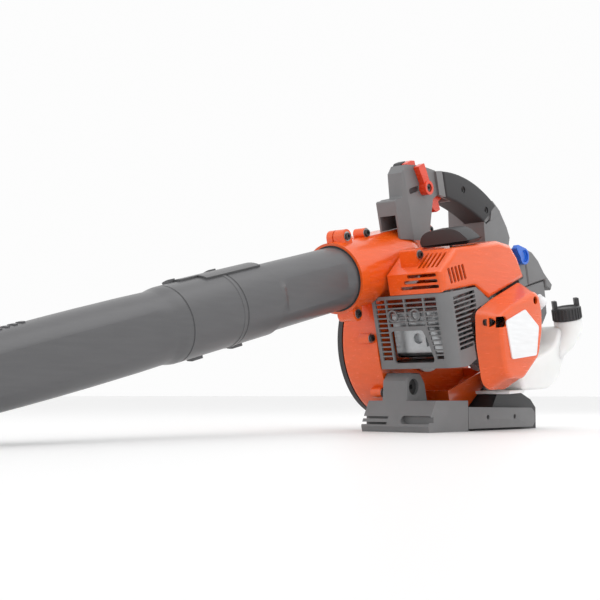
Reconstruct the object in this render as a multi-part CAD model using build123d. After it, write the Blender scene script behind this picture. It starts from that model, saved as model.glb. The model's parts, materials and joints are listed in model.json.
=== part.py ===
from build123d import *
import math
import os

# A hand-held petrol leaf blower standing on its own base.  Everything above the base is drawn in the unit
# frame: u forward along the blow tube, v to the machine's left, w up, with the crank axis at the origin.
# The unit stands nose-down by the pitch angle; the base is drawn straight in the stand frame.

# ---- stand ----
pitch = 14.0               # nose-down angle of the unit
floor_web = 6.0            # thickness of the base's floor web

# ---- clearances ----
running_gap = 0.04         # radial, shafts in bearings
slip_gap = 0.3             # between pieces that slide or turn by hand
part_gap = 0.4             # between covers that meet along an open seam

# ---- walls ----
shell_wall = 2.5           # moulded covers and housings
tube_wall = 2.0            # blow tubes
guard_wall = 3.0           # muffler guard
tank_wall = 2.5            # fuel tank

# ---- fan housing and tubes ----
outlet_w = 108.3           # height of the blow tube's axis over the crank axis
outlet_radius = 42.0       # outlet collar, outside
outlet_end = 145.0         # collar's end face
scroll_radius = 100.0      # scroll, front and bottom
scroll_clearance = 15.0    # scroll over the floor
axis_height = scroll_radius + scroll_clearance
fan_right = -43.0          # housing's outer side
fan_left = 14.0            # housing's engine side
outlet_ball_u = 25.0       # where the round outlet is closed by a ball end
outlet_step = 79.0         # where the scroll hands over to the round outlet
intake_radius = 62.0
grille_depth = 7.0
tube_radius = 38.5         # blow tube, outside
tube_start = 100.0         # blow tube's rear end inside the collar
tube_end = 400.0           # blow tube's front end inside the nozzle's socket
socket_start = tube_end - 115.0
socket_end = tube_end + 25.0
socket_wall = 2.2
nozzle_end = tube_end + 348.0
nozzle_waist = tube_end + 220.0    # where the nozzle begins to narrow
nozzle_radius = 33.0       # at the tip
nozzle_tip_length = 22.0   # straight length of the tip
bayonet_turn = 22.0        # degrees that the nozzle turns in its socket

# ---- fan ----
impeller_radius = 84.0
impeller_width = 27.0
blade_count = 14
blade_thickness = 2.0

# ---- engine ----
cylinder_v = 64.0          # cylinder axis
bore = 34.0
stroke = 28.0
rod_length = 48.0
pin_to_crown = 14.0
piston_height = 26.0
shaft_radius = 7.5
fan_shaft_radius = 5.0
web_radius = 20.0
web_thickness = 9.0
web_gap = 10.0
crank_pin_radius = 4.0
crankcase_radius = 31.0
bearing_radius = 14.0
bearing_width = 9.0
seal_radius = 12.0
deck_w = 29.0              # top of the crankcase
fin_length = 60.0          # cooling fins along u
fin_width = 38.0           # cooling fins along v
fin_count = 7
fin_pitch = 6.0
fin_thickness = 1.8
flywheel_radius = 40.0
flywheel_v = 97.0
flywheel_width = 15.0

# ---- covers ----
cover_right = 44.0         # cylinder cover's inner side
side_v = 124.0             # left side of cover and guard
guard_right = 15.0
guard_front = 98.0
starter_depth = 28.0
starter_taper = 24.0
badge_depth = 1.8

# ---- handle ----
handle_seam = 22.0
grip_right = 5.0
grip_left = 39.0
front_leg_right = 0.0
front_head_right = 13.0     # upper, narrower part of the front leg
front_head_w = 190.0
front_leg_left = 36.0
rear_leg_right = -20.0
rear_leg_left = 38.0
handle_wall = 3.0
trigger_pivot = (-44.0, 187.0)
lever_pivot = (-18.0, 196.0)

# ---- starter ----
pulley_v = 133.0
pulley_radius = 24.0
rope_radius = 1.6
pull_handle_u = 10.0
pull_handle_w = 131.0
pull_handle_v0 = 47.0
pull_handle_v1 = 121.0

# ---- fuel ----
cap_u = -189.0
cap_v = 122.0
cap_w = -14.0              # seat of the cap on the neck
cap_radius = 20.0
neck_radius = 20.0

# ---- base, in the stand frame ----
base_front = 105.0
base_rear = -168.0
base_right = -6.0
base_left = 95.0
block_rear = 21.0
block_height = 38.0
bush_radius = 10.0
front_bush = (76.0, 55.0)  # x, z
rear_bush = (-112.0, 62.0)

crown_rest_w = rod_length - stroke / 2 + pin_to_crown
unit_frame = Location((0, 0, axis_height), (0, pitch, 0))
nodes = {}


# ---- drawing helpers ----
def area(*points, radius=0.0):
    """A face in (u, w) with straight sides and corners rounded by radius."""
    face = make_face(Polyline(*points, close=True))
    return fillet(face.vertices(), radius) if radius else face


def slab(face, low, high):
    """A face drawn in (u, w), thickened from v = low to v = high."""
    return extrude(Plane.XZ.offset(-low) * face, -(high - low))


def rod_u(radius, low, high, v, w):
    return Pos((low + high) / 2, v, w) * Rot(0, 90, 0) * Cylinder(radius, high - low)


def rod_v(radius, low, high, u=0.0, w=0.0):
    return Pos(u, (low + high) / 2, w) * Rot(90, 0, 0) * Cylinder(radius, high - low)


def rod_w(radius, low, high, u, v):
    return Pos(u, v, (low + high) / 2) * Cylinder(radius, high - low)


def block(u0, u1, v0, v1, w0, w1):
    return Pos((u0 + u1) / 2, (v0 + v1) / 2, (w0 + w1) / 2) * Box(u1 - u0, v1 - v0, w1 - w0)


def routed(points, radius):
    """A flexible line along points, with an arc at each corner as large as its two runs allow."""
    vectors = [Vector(*p) for p in points]
    radii = []
    for before, corner, after in zip(vectors, vectors[1:], vectors[2:]):
        run_in = corner - before
        run_out = after - corner
        turn = math.radians(run_in.get_angle(run_out))
        radii.append(0.45 * min(run_in.length, run_out.length) / math.tan(turn / 2))
    print("bend radii", [round(r, 1) for r in radii])
    path = FilletPolyline(*points, radius=radii)
    profile = Plane(vectors[0], z_dir=vectors[1] - vectors[0]) * Circle(radius)
    return sweep(profile, path=path)


def screw(radius, length, head_radius, head_height, socket=2.2):
    """A screw along -Z with its head's seat at the origin and a six-sided socket."""
    body = Pos(0, 0, -length / 2) * Cylinder(radius, length)
    body += Pos(0, 0, head_height / 2) * Cylinder(head_radius, head_height)
    return body - extrude(Pos(0, 0, head_height * 0.35) * RegularPolygon(socket, 6), head_height)


def left_screw(u, w, seat_v, radius=2.0, length=14.0, head_radius=4.2, head_height=3.0):
    """A screw driven from the left: its head faces +v."""
    return Pos(u, seat_v, w) * Rot(-90, 0, 0) * screw(radius, length, head_radius, head_height)


def right_screw(u, w, seat_v, radius=2.0, length=14.0, head_radius=4.2, head_height=3.0):
    """A screw driven from the right: its head faces -v."""
    return Pos(u, seat_v, w) * Rot(90, 0, 0) * screw(radius, length, head_radius, head_height)


def group(pieces):
    """Separate solids kept together in one node."""
    return Compound([solid for piece in pieces for solid in piece.solids()])


def keep(name, shape):
    """Place a shape drawn in the unit frame and keep it under its node's name."""
    nodes[name] = unit_frame * shape


# ---- fan housing ----
outlet_top = outlet_w + outlet_radius
big_radius = (outlet_top + scroll_radius) / 2
big_w = outlet_top - big_radius


def scroll_face(inset, step):
    """The scroll's side outline, moved inwards by inset, with its outlet cut at u = step."""
    top = outlet_top - inset
    throat = outlet_w - outlet_radius + inset
    small = scroll_radius - inset
    big = big_radius - inset
    lip_u = math.sqrt(small ** 2 - throat ** 2)
    half = math.radians(-35)
    edges = [
        Line((step, top), (0, top)),
        ThreePointArc((0, top), (-big, big_w), (0, -small)),
        ThreePointArc((0, -small), (small * math.cos(half), small * math.sin(half)), (lip_u, throat)),
        Line((lip_u, throat), (step, throat)),
        Line((step, throat), (step, top)),
    ]
    return make_face(edges)


def fan_lugs():
    """Where the two halves of the fan housing are screwed together: (u, w)."""
    spots = []
    for angle in (118, 165, 215):
        reach = big_radius + lug_offset
        spots.append((reach * math.cos(math.radians(angle)), big_w + reach * math.sin(math.radians(angle))))
    for angle in (-60, -26, 14):
        reach = scroll_radius + lug_offset
        spots.append((reach * math.cos(math.radians(angle)), reach * math.sin(math.radians(angle))))
    spots.append((78, outlet_top + lug_offset))
    return spots


clamp_spot = (126.0, outlet_top + 6.0)
lower_spot = (128.0, outlet_w - outlet_radius - 5.0)
lug_radius = 6.5
lug_reach = 8.0
lug_offset = 4.0
tray_left = 54.0            # splash tray under the engine, its left side


def fan_housing():
    outer = slab(scroll_face(0, outlet_step), fan_right, fan_left)
    outer = fillet(outer.edges().group_by(Axis.Y)[0], 5)
    outer += rod_u(outlet_radius, outlet_ball_u, outlet_end, 0, outlet_w)
    outer += Pos(outlet_ball_u, 0, outlet_w) * Sphere(outlet_radius)
    outer += rod_u(outlet_radius + 1.8, outlet_end - 14, outlet_end, 0, outlet_w)
    for u, w in fan_lugs():
        outer += rod_v(lug_radius, -lug_reach, lug_reach, u, w)
    for u, w in (clamp_spot, lower_spot):
        outer += block(u - 9, u + 9, -10, 15, min(w, outlet_w), max(w, outlet_w))
        outer += rod_v(9, -10, 15, u, w)
    inner = slab(scroll_face(shell_wall, outlet_step - shell_wall), fan_right + shell_wall,
                 fan_left - shell_wall)
    inner += Pos(outlet_ball_u, 0, outlet_w) * Sphere(outlet_radius - shell_wall)
    inner += rod_u(outlet_radius - shell_wall, outlet_ball_u, outlet_end + 5, 0, outlet_w)
    shell = outer - inner
    shell -= block(outlet_end - 38, outlet_end + 5, -0.8, 0.8, outlet_top + 1, outlet_top + 30)
    for u, w in fan_lugs():
        shell -= rod_v(2.5, -20, 20, u, w)
        shell -= rod_v(4.6, lug_reach, 20, u, w)
    for u, w in (clamp_spot, lower_spot):
        shell -= rod_v(2.6, -30, 30, u, w)
    shell -= rod_v(intake_radius, fan_right - 5, fan_right + 6)
    for u, w in grille_spots():
        shell -= rod_v(2.2, fan_right - 5, fan_right + 6, u, w)
    shell -= rod_v(22, fan_left - 6, fan_left + 5)
    right = shell & block(-300, 300, -100, 0, -300, 300)
    left = shell & block(-300, 300, 0, 100, -300, 300)
    arm = block(-156, -90, slip_gap, fan_left, 66, 84) - slab(scroll_face(shell_wall, outlet_step), -60, 60)
    left += arm - slab(rear_leg_face(), -60, 60)
    tray_face = area((20, -62), (20, -97), (-5, -99), (-60, -77), (-84, -68), (-84, -55))
    tray = slab(tray_face, fan_left - 1, tray_left)
    tray -= slab(area((17, -50), (17, -94), (-5, -96), (-60, -74), (-81, -65.5), (-81, -50)), fan_left,
                 tray_left - shell_wall)
    left += tray
    return right, left


def intake_grille():
    v0 = fan_right - grille_depth
    ring = rod_v(scroll_radius - 1, v0, fan_right) - rod_v(scroll_radius - 8, v0 - 1, fan_right + 1)
    for radius in (22, 38, 54, 70):
        ring += rod_v(radius, v0, v0 + 3) - rod_v(radius - 3, v0 - 1, v0 + 4)
    ring += rod_v(10, v0, v0 + 3)
    for k in range(12):
        ring += Rot(0, 30 * k, 0) * block(8, scroll_radius - 4, v0, v0 + 3, -1.6, 1.6)
    for u, w in grille_spots():
        ring += rod_v(6, v0, fan_right, u, w)
        ring -= rod_v(2.3, v0 - 5, fan_right + 5, u, w)
    return ring


def grille_spots():
    reach = scroll_radius - 11
    return [(reach * math.cos(math.radians(a)), reach * math.sin(math.radians(a))) for a in (45, 135, 225, 315)]


# ---- rotor ----
def impeller():
    back_v = -6.0
    wheel = rod_v(impeller_radius, back_v - 2.5, back_v)
    wheel += rod_v(13, back_v - 22, back_v + 4)
    for k in range(blade_count):
        blade = block(22, impeller_radius - 1, back_v - impeller_width, back_v - 2, -blade_thickness / 2,
                      blade_thickness / 2)
        blade = Rot(0, 12, 0) * blade
        blade = Pos(5, 0, 0) * blade
        wheel += Rot(0, 360 / blade_count * k, 0) * blade
    wheel &= rod_v(impeller_radius, -60, 10)
    return wheel - rod_v(fan_shaft_radius, -60, 20)


def crankshaft():
    half_gap = web_gap / 2
    right_web = cylinder_v - half_gap - web_thickness
    left_web = cylinder_v + half_gap
    shaft = rod_v(fan_shaft_radius, -36, 31)
    shaft += rod_v(shaft_radius, 20, right_web)
    shaft += rod_v(web_radius, right_web, right_web + web_thickness)
    shaft += rod_v(web_radius, left_web, left_web + web_thickness)
    shaft += rod_v(shaft_radius, left_web + web_thickness, flywheel_v)
    shaft += rod_v(6, flywheel_v, flywheel_v + flywheel_width + 8)
    return shaft


def flywheel():
    wheel = rod_v(flywheel_radius, flywheel_v, flywheel_v + 9)
    wheel += rod_v(14, flywheel_v, flywheel_v + flywheel_width)
    for k in range(16):
        fin = block(16, flywheel_radius - 1, flywheel_v + 8, flywheel_v + flywheel_width, -1, 1)
        wheel += Rot(0, 22.5 * k, 0) * fin
    return wheel - rod_v(6, flywheel_v - 1, flywheel_v + 40)


# ---- engine ----
def crankcase():
    chamber = web_radius + 3
    v0, v1 = 17.0, 95.5
    case = rod_v(crankcase_radius, v0, v1)
    case += rod_v(40, fan_left + slip_gap, 20)
    case += block(-25, 25, cylinder_v - 24, cylinder_v + 24, 0, deck_w)
    case -= rod_v(chamber, cylinder_v - web_gap / 2 - web_thickness - 0.6,
                  cylinder_v + web_gap / 2 + web_thickness + 0.6)
    case -= rod_w(bore / 2 + 1.5, 0, deck_w + 9, 0, cylinder_v)
    case -= block(-60, 60, cylinder_v - 26, cylinder_v + 26, deck_w, 60)
    case -= rod_v(shaft_radius + 0.6, 0, 200)
    for v in main_bearing_places():
        case -= rod_v(bearing_radius, v, v + bearing_width)
    case -= rod_v(seal_radius, v0 - 10, v0 + 7)
    case -= rod_v(seal_radius, v1 - 5, v1 + 5)
    for u, v in base_bolts():
        case -= rod_w(2.0, deck_w - 14, deck_w + 1, u, v)
    return (case & block(-60, 60, 0, cylinder_v, -60, 60),
            case & block(-60, 60, cylinder_v, 200, -60, 60))


def main_bearing_places():
    edge = web_gap / 2 + web_thickness + 2.0
    return cylinder_v - edge - bearing_width, cylinder_v + edge


def base_bolts():
    return [(u, cylinder_v + v) for u in (-21, 21) for v in (-19, 19)]


def bearing(v, outer, inner, width):
    ring = rod_v(outer, v, v + width) - rod_v(outer - 3, v - 1, v + width + 1)
    ring += rod_v(inner + 2.6, v, v + width) - rod_v(inner, v - 1, v + width + 1)
    ring += rod_v(outer - 3, v + width / 2 - 1, v + width / 2 + 1) - rod_v(inner + 2.6, v, v + width)
    return ring


def cylinder():
    barrel_top = 84.0
    barrel = rod_w(bore / 2 + 4, deck_w, barrel_top, 0, cylinder_v)
    barrel += block(-26, 26, cylinder_v - 23, cylinder_v + 23, deck_w, deck_w + 7)
    for k in range(fin_count):
        w = 47 + fin_pitch * k
        fin = block(-fin_length / 2, fin_length / 2, cylinder_v - fin_width / 2, cylinder_v + fin_width / 2,
                    w, w + fin_thickness)
        barrel += fillet(fin.edges().filter_by(Axis.Z), 8)
    barrel += block(-31, -12, cylinder_v - 11, cylinder_v + 11, 37, 58)
    barrel += block(12, 32, cylinder_v - 14, cylinder_v + 14, 38, 62)
    barrel += plug_frame() * Pos(0, 0, 11) * Cylinder(10, 16)
    barrel -= plug_frame() * Pos(0, 0, 34) * Cylinder(9.6, 30)
    barrel -= rod_w(bore / 2 + running_gap, deck_w, crown_rest_w + stroke + 1.5, 0, cylinder_v)
    barrel -= plug_frame() * Pos(0, 0, 8) * Cylinder(5, 26)
    barrel -= rod_u(6.5, -40, -10, cylinder_v, 47)
    barrel -= rod_u(8, 10, 40, cylinder_v, 50)
    for u, v in base_bolts():
        barrel -= rod_w(2.6, deck_w, deck_w + 10, u, v)
        barrel -= rod_w(4.6, deck_w + 7, barrel_top + 5, u, v)
    return barrel


def plug_frame():
    """The spark plug's axis: it leans back from the cylinder's top."""
    return Location((6, cylinder_v, 74.0), (0, -58, 0))


plug_seat = 19.0           # spark plug's seat along its own axis
plug_reach = 5.2           # thread below the seat, short of the piston at the top of its stroke


def spark_plug():
    plug = Pos(0, 0, plug_seat - plug_reach / 2) * Cylinder(5, plug_reach)
    plug += Pos(0, 0, plug_seat + 1.5) * Cylinder(7, 3)
    plug += Pos(0, 0, plug_seat + 3) * extrude(RegularPolygon(8, 6), 6)
    plug += Pos(0, 0, 36) * Cylinder(4, 18)
    return plug_frame() * plug


def spark_plug_cap():
    cap = Pos(0, 0, 38) * Cylinder(7.5, 18) - Pos(0, 0, 36) * Cylinder(4, 18)
    cap += Pos(0, 0, 46) * Sphere(7.5) - Pos(0, 0, 36) * Cylinder(7, 18)
    return plug_frame() * cap


def piston():
    crown = crown_rest_w
    pin_w = crown - pin_to_crown
    body = rod_w(bore / 2, crown - piston_height, crown, 0, cylinder_v)
    body -= rod_w(bore / 2 - 3, crown - piston_height - 1, crown - 4, 0, cylinder_v)
    boss_offset = bore / 2 - 5
    for v in (cylinder_v - boss_offset, cylinder_v + boss_offset):
        body += block(-6, 6, v - 3, v + 3, pin_w - 6, crown - 3)
    body &= rod_w(bore / 2, 0, 100, 0, cylinder_v)
    body -= rod_v(4, cylinder_v - 30, cylinder_v + 30, 0, pin_w)
    groove = rod_w(bore / 2 + 1, crown - 5, crown - 3.2, 0, cylinder_v)
    groove -= rod_w(bore / 2 - 1.6, crown - 6, crown - 3, 0, cylinder_v)
    return body - groove


def piston_ring():
    ring = rod_w(bore / 2, crown_rest_w - 5, crown_rest_w - 3.2, 0, cylinder_v)
    return ring - rod_w(bore / 2 - 1.6, crown_rest_w - 6, crown_rest_w - 3, 0, cylinder_v)


def connecting_rod():
    big_w_rest = -stroke / 2
    small = big_w_rest + rod_length
    rod = rod_v(8, cylinder_v - 4.5, cylinder_v + 4.5, 0, big_w_rest)
    rod += rod_v(6.5, cylinder_v - 4.5, cylinder_v + 4.5, 0, small)
    rod += block(-3.5, 3.5, cylinder_v - 3, cylinder_v + 3, big_w_rest, small)
    rod -= rod_v(crank_pin_radius, cylinder_v - 9, cylinder_v + 9, 0, big_w_rest)
    return rod - rod_v(4, cylinder_v - 9, cylinder_v + 9, 0, small)


def muffler():
    can = block(42, 84, 32, 104, -6, 60)
    can = fillet(can.edges().filter_by(Axis.Y), 10)
    can -= block(44, 82, 34, 102, -4, 58)
    can += block(33, 43, cylinder_v - 13, cylinder_v + 13, 38, 60)
    can -= rod_u(8, 30, 60, cylinder_v, 50)
    outlet = block(83, 90, 60, 82, 10, 31)
    outlet -= rod_u(6.5, 78, 100, 71, 20.5)
    return can + outlet


# ---- covers ----
cover_lug = (77.0, 121.0)
cover_lug_seat = 82.0


def cover_face():
    return area((97, 76), (97, 101), (58, 123), (-38, 118), (-66, 109), (-80, 90), (-90, 62), (2, 50), (29, 71))


def cylinder_cover():
    left_part = slab(cover_face(), cover_right, side_v)
    left_part = fillet(left_part.edges().group_by(Axis.Y)[-1], 7)
    low_part = slab(area((-21, 70), (-21, 119), (-38, 118), (-66, 109), (-80, 90), (-88, 70)), 16, cover_right)
    outer = left_part + low_part
    inner_face = offset(cover_face(), -shell_wall)
    inner = slab(inner_face, cover_right - 1, side_v - shell_wall)
    inner += slab(area((-24, 60), (-24, 116.5), (-38, 115.5), (-64.5, 106.8), (-77.5, 89), (-85, 60)), 18.5,
                  cover_right)
    mouth = block(-84.5, 94.5, cover_right - 1, side_v - shell_wall, 40, 78)
    cover = outer - inner - mouth
    cover -= slab(scroll_face(-slip_gap, outlet_step), fan_right, fan_left + slip_gap)
    cover -= rod_u(outlet_radius + slip_gap, outlet_ball_u, 150, 0, outlet_w)
    cover -= Pos(outlet_ball_u, 0, outlet_w) * Sphere(outlet_radius + slip_gap)
    for k in range(3):
        slot = block(90, 110, 73 - 6 * k, 115 + k, 95.4 - 6.9 * k, 99.4 - 6.9 * k)
        cover -= fillet(slot.edges().filter_by(Axis.X), 1.8)
    for k in range(5):
        u = 85 - 7.6 * k
        side_slot = area((u, 102), (u - 4.8, 102.8), (u - 8.2, 83.8), (u - 3.4, 83.0), radius=1.2)
        cover -= slab(side_slot, 110, 130)
    for k in range(5):
        v = 84 + 6.4 * k
        slot = block(63, 89, v, v + 3.4, 98, 130)
        cover -= fillet(slot.edges().filter_by(Axis.Z), 1.5)
    lug_u, lug_w = cover_lug
    lug = block(lug_u - 8, lug_u + 8, 58, cover_lug_seat, 100, lug_w + 8)
    lug = fillet(lug.edges().filter_by(Axis.Y), 2.5)
    cover += lug - slab(inner_face, 0, 200)
    cover -= rod_v(2.3, 40, 120, *cover_lug)
    cover -= rod_w(3.2, 100, 130, pull_handle_u, (pull_handle_v0 + pull_handle_v1) / 2)
    return cover


guard_pitch = 5.9          # rows of slots in the guard's front
guard_slot = 4.2


def muffler_guard():
    face = area((guard_front, -15), (guard_front, 75.5), (29.5, 70.4), (3, 49.2), (20, 47), (44, 42),
                (50.5, 36), (50.5, -15), (70, -19))
    outer = slab(face, guard_right, side_v)
    outer = fillet(outer.edges().filter_by(Axis.Z).group_by(Axis.X)[-1][-1:], 13)
    room = area((guard_front - guard_wall, -12), (guard_front - guard_wall, 90), (-20, 90), (-20, -12))
    inside = slab(room, guard_right - 1, side_v - guard_wall)
    inside = fillet(inside.edges().filter_by(Axis.Z).sort_by(Axis.X)[-1:], 10)
    outer -= inside
    outer -= rod_u(outlet_radius + slip_gap, outlet_ball_u, 150, 0, outlet_w)
    front = guard_front - guard_wall - 1
    window_top, window_low = 32.0, -8.0
    window = Plane.YZ.offset(front) * make_face(Polyline(
        (37, window_low), (37, window_top), (84, window_top), (89, 22), (97, window_low), close=True))
    window = extrude(window, 6)
    outer -= fillet(window.edges().filter_by(Axis.X), 4)
    for k in range(13):
        low = 66.8 - guard_pitch * k
        high = low + guard_slot
        outer -= block(front, front + 6, 20, 34.5, low, high)
        slant = 8 * min(1.0, max(0.0, (window_top - low) / (window_top - window_low)))
        outer -= block(front, front + 6, 92.5 + slant, 110, low, high)
        if low > window_top + 1:
            outer -= block(front, front + 6, 37, 62, low, high)
            outer -= block(front, front + 6, 64.5, 90, low, high)
    for k in range(12):
        w = 64 - 5.6 * k
        reach = 34 + max(0, 44 - w) * 0.42
        slot = block(min(reach, 56), 82, side_v - guard_wall - 1, side_v + 1, w, w + 3.8)
        outer -= fillet(slot.edges().filter_by(Axis.Y), 1.2)
    for v in (44, 77):
        ring = rod_u(7.5, guard_front - guard_wall, guard_front + 0.8, v, 51)
        outer = outer + ring - rod_u(5.6, guard_front - 9, guard_front + 5, v, 51)
    return outer


def starter_face(inset=0.0):
    face = area((48, -45), (48, 3), (40, 41), (1, 49.5), (-72, 59), (-84, 50), (-86, 22), (-79, -6), (-58, -43),
                (-5, -66), (36, -57))
    return offset(face, -inset) if inset else face


def starter_housing():
    base_v = side_v + part_gap
    plane = Plane.XZ.offset(-base_v)
    outer = extrude(plane * starter_face(), -starter_depth, taper=starter_taper)
    inner = extrude(plane * starter_face(shell_wall), -(starter_depth - shell_wall), taper=starter_taper)
    shell = outer - inner
    post_low = pulley_v - 6
    shell += rod_v(5, post_low, base_v + starter_depth - 1)
    shell -= rod_v(2, post_low - 1, post_low + 12)
    for u, w in starter_screw_spots():
        shell += rod_v(7, base_v, base_v + 17, u, w) & outer
        shell -= rod_v(4.8, base_v + 9, base_v + 40, u, w)
        shell -= rod_v(2.3, base_v - 1, base_v + 40, u, w)
    return shell


def starter_screw_spots():
    return [(36, 27), (5, -50), (-58, 36), (-60, -22)]


def badge_face():
    return area((20, 25), (-28, 30), (-55, 3), (-40, -31), (18, -23), radius=4)


# ---- handle ----
def rear_leg_face():
    return area((-147, 128), (-155, 165), (-166, 167), (-194, 142.5), (-206, 119), (-210, 104), (-194, 74),
                (-155, 62), (-149, 84), (-144, 101))


def grip_face():
    """The arched grip between the two legs."""
    front_low, front_top = (-49, 184), (-49, 215)
    rear_top, rear_low = (-193, 143), (-154, 131)
    return make_face([
        Line(front_low, front_top),
        ThreePointArc(front_top, (-126, 195), rear_top),
        Line(rear_top, rear_low),
        ThreePointArc(rear_low, (-108, 160), front_low),
    ])


def handle_parts():
    shoulder_w = front_head_w - 1
    front = area((44, 140), (44, 150), (38, shoulder_w), (26, shoulder_w), (22, 221), (12, 230), (-11, 227),
                 (-32, 222), (-51, 216), (-51, 185), (-37, 180), (-14, 128))
    grip = grip_face()
    rear = rear_leg_face()
    whole = slab(front, front_leg_right, front_leg_left)
    whole = fillet(whole.edges().filter_by(Axis.Y).sort_by(Axis.X)[-4:], 4)
    whole -= block(-60, 60, front_leg_right - 1, front_head_right, front_head_w, 240)
    grip_solid = slab(grip, grip_right, grip_left)
    rear_solid = slab(rear, rear_leg_right, rear_leg_left)
    whole = whole + grip_solid + rear_solid
    core = slab(offset(front, -handle_wall), front_head_right + handle_wall, front_leg_left - handle_wall)
    shoulder_room = block(-16, 40, front_leg_right + handle_wall, front_head_right + 4, 130,
                          front_head_w - handle_wall)
    core += shoulder_room & slab(offset(front, -handle_wall), -60, 60)
    core += slab(offset(grip, -5.0), grip_right + 5, grip_left - 5)
    core += slab(offset(rear, -handle_wall), rear_leg_right + handle_wall, rear_leg_left - handle_wall)
    core += block(-59, -39, 12, 32, 188, 206)
    core += block(-165, -149, 12, 32, 135, 160)
    facet = Pos(18, front_leg_left, 0) * Rot(0, 0, -17) * block(0, 80, 0, 30, 120, 240)
    core -= Pos(0, -handle_wall, 0) * facet
    whole -= core
    outlet_gap = outlet_radius + slip_gap
    whole -= rod_u(outlet_gap, -60, 150, 0, outlet_w)
    whole -= slab(scroll_face(-slip_gap, outlet_step), fan_right, fan_left + slip_gap)
    whole -= block(-81, -38, 13, 31, 160, 194)
    whole -= rod_v(lug_radius + slip_gap, -60, 60, 78, outlet_top + lug_offset)
    skin = grip_skin()
    whole -= skin
    for u, w in handle_screw_spots():
        whole -= rod_v(3.6, grip_left - 6, 60, u, w)
    whole -= slab(area((38, 120), (38, 240), (60, 240), (60, 120)), -60, 60)
    whole -= facet
    slot = Pos(2, 0, 196.5) * Rot(0, 6, 0) * block(-11, 11, front_leg_left - 2.4, 60, -3.6, 3.6)
    whole -= fillet(slot.edges().filter_by(Axis.Y), 3.4)
    whole -= rod_v(2.0, 0, 60, *lever_pivot)
    whole -= rod_v(2.0, 9.5, 34.5, *trigger_pivot)
    whole -= slab(offset(switch_face(), slip_gap), 24 - slip_gap, 32 + slip_gap)
    right = whole & block(-300, 300, -100, handle_seam, 0, 400)
    left = whole & block(-300, 300, handle_seam, 100, 0, 400)
    return right, left, skin


def grip_skin():
    """The soft sleeve over the grip: two millimetres deep, let into the shells."""
    band = area((-63, 170), (-63, 230), (-209, 230), (-161, 128), (-139, 128))
    grip = grip_face()
    skin = slab(grip, grip_right, grip_left) & slab(band, -20, 60)
    skin -= slab(offset(grip, -2.0), grip_right + 2, grip_left - 2)
    skin -= block(-83, -29, 11, 33, 150, 185)
    for u, w in handle_screw_spots():
        skin -= rod_v(3.6, grip_left - 6, 60, u, w)
    return skin


def handle_screw_spots():
    return [(-107, 184), (-157, 150)]


def switch_face():
    return area((-15, 221), (-15, 233), (-7, 234), (4, 231), (4, 221), radius=1.5)


def trigger():
    pu, pw = trigger_pivot
    lever = area((pu - 6, pw + 5), (pu + 5, pw + 5), (pu + 4, pw - 8), (pu + 2, pw - 19), (pu - 6, pw - 25),
                 (pu - 15, pw - 23), (pu - 13, pw - 12), (pu - 32, pw - 5), (pu - 32, pw - 1), radius=1.5)
    return slab(lever, 14, 30) - rod_v(2.0 + slip_gap, 0, 60, pu, pw)


def throttle_lever():
    pu, pw = lever_pivot
    v0 = front_leg_left + slip_gap
    lever = rod_v(9, v0, v0 + 10, pu, pw)
    arm = area((pu - 6, pw + 5), (pu + 6, pw + 4), (pu + 15, pw + 29), (pu + 1, pw + 32), (pu - 3, pw + 18),
               radius=1.5)
    lever += slab(arm, v0, v0 + 8)
    lever -= rod_v(5.4, v0 + 6, v0 + 12, pu, pw)
    return lever - rod_v(2.0 + slip_gap, v0 - 2, v0 + 12, pu, pw)


# ---- intake side ----
def carburettor():
    body = block(-83, -46, 50, 80, 28, 60)
    body = fillet(body.edges().filter_by(Axis.X), 4)
    body -= rod_u(8, -90, -40, cylinder_v, 46)
    body += rod_w(11, 20, 28, -65, cylinder_v)
    body -= rod_v(2.0 + slip_gap, 40, 90, -62, 46)
    return body


def air_box():
    face = area((-98, 47), (-98, -6), (-140, -10), (-155, 2), (-158, 30), (-158, 47))
    box = slab(face, 58, 112)
    box = fillet(box.edges().group_by(Axis.Y)[-1], 3)
    box -= slab(offset(face, -shell_wall), 58 + shell_wall, 112 - shell_wall)
    box -= block(-150, -104, 66, 104, 40, 60)
    box -= rod_v(10.5 + slip_gap, 105, 120, -138, 21)
    return box


def filter_cover():
    face = area((-114, 48), (-114, 98.5), (-134, 89), (-147, 76), (-158, 58), (-176, 38), (-170, 31),
                (-159, 38), (-159, 48))
    cover = slab(face, 56, 114)
    cover = chamfer(cover.edges().group_by(Axis.Y)[-1], 1.5)
    room = area((-100, 40), (-100, 96), (-114, 95.5), (-132, 86.5), (-145, 74), (-155.5, 57), (-156, 47.6),
                (-158.6, 40))
    cover -= slab(room, 58.5, 111.5)
    cover -= block(-158.6, -100, 50, 120, 20, 47.6)
    return cover


def filter_holder():
    face = area((-112.5, 48), (-112.5, 98.5), (-92, 100), (-92, 48))
    plate = slab(face, 57, 113)
    plate -= block(-112.6, -96, 60, 110, 50, 95)
    plate += block(-96, -84, 54, 76, 34, 58) + block(-97, -92, 57, 113, -5, 48)
    plate -= rod_v(2.0 + slip_gap, 105, 120, -102, 88)
    return plate - rod_u(8, -120, -80, cylinder_v, 46)


def choke_knob():
    knob = rod_v(11, 113 + slip_gap, 121, -102, 88)
    paddle = area((-112, 90), (-104, 99), (-90, 105), (-84, 101), (-92, 86), (-101, 80), radius=2)
    knob += slab(paddle, 113 + slip_gap, 121)
    knob -= rod_v(8, 118, 125, -102, 88)
    return knob + rod_v(2.0, 106, 114, -102, 88)


# ---- fuel ----
def tank_face():
    return area((-48, -48), (-52, -79), (-118, -93), (-146, -86), (-166, -66), (-184, -47), (-197, -24),
                (-172, -19), (-150, -40), (-128, -44), radius=5)


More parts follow.
